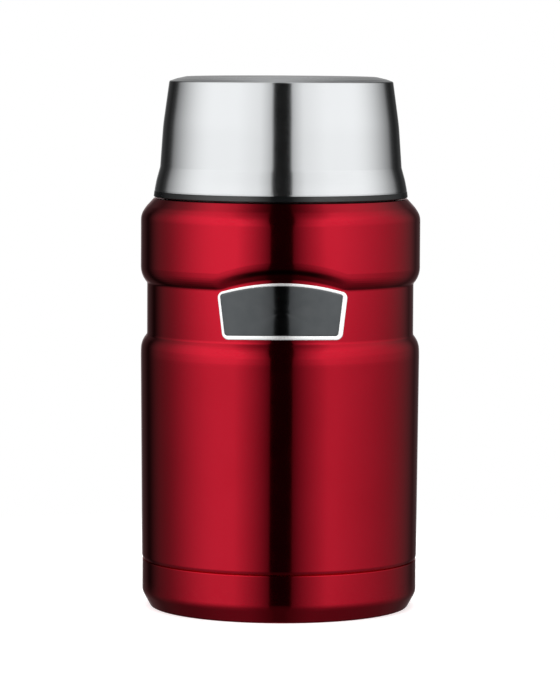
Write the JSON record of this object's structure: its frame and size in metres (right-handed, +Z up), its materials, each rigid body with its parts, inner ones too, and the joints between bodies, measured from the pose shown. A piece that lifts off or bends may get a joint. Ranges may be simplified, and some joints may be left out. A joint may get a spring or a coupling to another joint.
{
  "type": "insulated food jar",
  "caption": "Tall wide-mouth vacuum food jar with a drawn-in waist, a screw-in stopper and a screw-on cup lid of brushed steel.",
  "frame": {"origin": "centre of the foot ring, on the surface that the jar stands on", "axes": "+Z up the jar's axis from the foot to the lid; -Y towards the badge, which is the front; +X to the right of the badge seen from the front"},
  "size_m": [0.11, 0.11, 0.209],
  "materials": {
    "red_lacquer": "glossy translucent red lacquer over steel",
    "base_lacquer": "glossy translucent red lacquer over steel",
    "plain_steel": "mill",
    "braze": "melted bead",
    "clip_steel": "strip",
    "getter": "sintered",
    "vessel_steel": "electropolished satin",
    "foil": "bright foil",
    "badge_enamel": "gloss enamel",
    "badge_chrome": "bright",
    "collar_plastic": "moulded",
    "seal_rubber": "smooth",
    "stopper_plastic": "moulded",
    "stopper_top_plastic": "fine moulded grain",
    "foam": "closed-cell foam",
    "gasket_rubber": "smooth silicone",
    "lid_steel": "brushed round the lid",
    "liner_plastic": "satin moulded"
  },
  "bodies": {
    "jar": {"outer_shell": "red_lacquer", "base_cup": "base_lacquer", "outer_bottom": "plain_steel", "port_seal": "braze", "getter_clip": "clip_steel", "getter_pellet": "getter", "inner_vessel": "vessel_steel", "inner_bottom": "vessel_steel", "radiation_foil": "foil", "badge_plate": "badge_enamel", "badge_frame": "badge_chrome", "neck_collar": "collar_plastic", "collar_seal": "seal_rubber"},
    "lid_seal": {"lid_gasket": "gasket_rubber"},
    "lid": {"lid_shell": "lid_steel", "lid_liner": "liner_plastic"},
    "stopper_seal": {"stopper_gasket": "gasket_rubber"},
    "stopper": {"stopper_body": "stopper_plastic", "stopper_cap": "stopper_top_plastic", "stopper_foam": "foam"}
  },
  "joints": [
    {"name": "lid_rise", "type": "slide", "parent": "jar", "child": "lid_seal", "axis": [0, 0, 1], "range_m": [0, 0.03201]},
    {"name": "lid_turn", "type": "hinge", "parent": "lid_seal", "child": "lid", "pos_m": [0, 0, 0.17], "axis": [0, 0, 1], "range_deg": [0, 720]},
    {"name": "stopper_rise", "type": "slide", "parent": "jar", "child": "stopper_seal", "axis": [0, 0, 1], "range_m": [0, 0.02101]},
    {"name": "stopper_turn", "type": "hinge", "parent": "stopper_seal", "child": "stopper", "pos_m": [0, 0, 0.17], "axis": [0, 0, 1], "range_deg": [0, 630]}
  ],
  "couplings": [
    {"joint": "lid_rise", "follows": "lid_turn", "m_per_rad": 0.0025465},
    {"joint": "stopper_rise", "follows": "stopper_turn", "m_per_rad": 0.0019099}
  ]
}
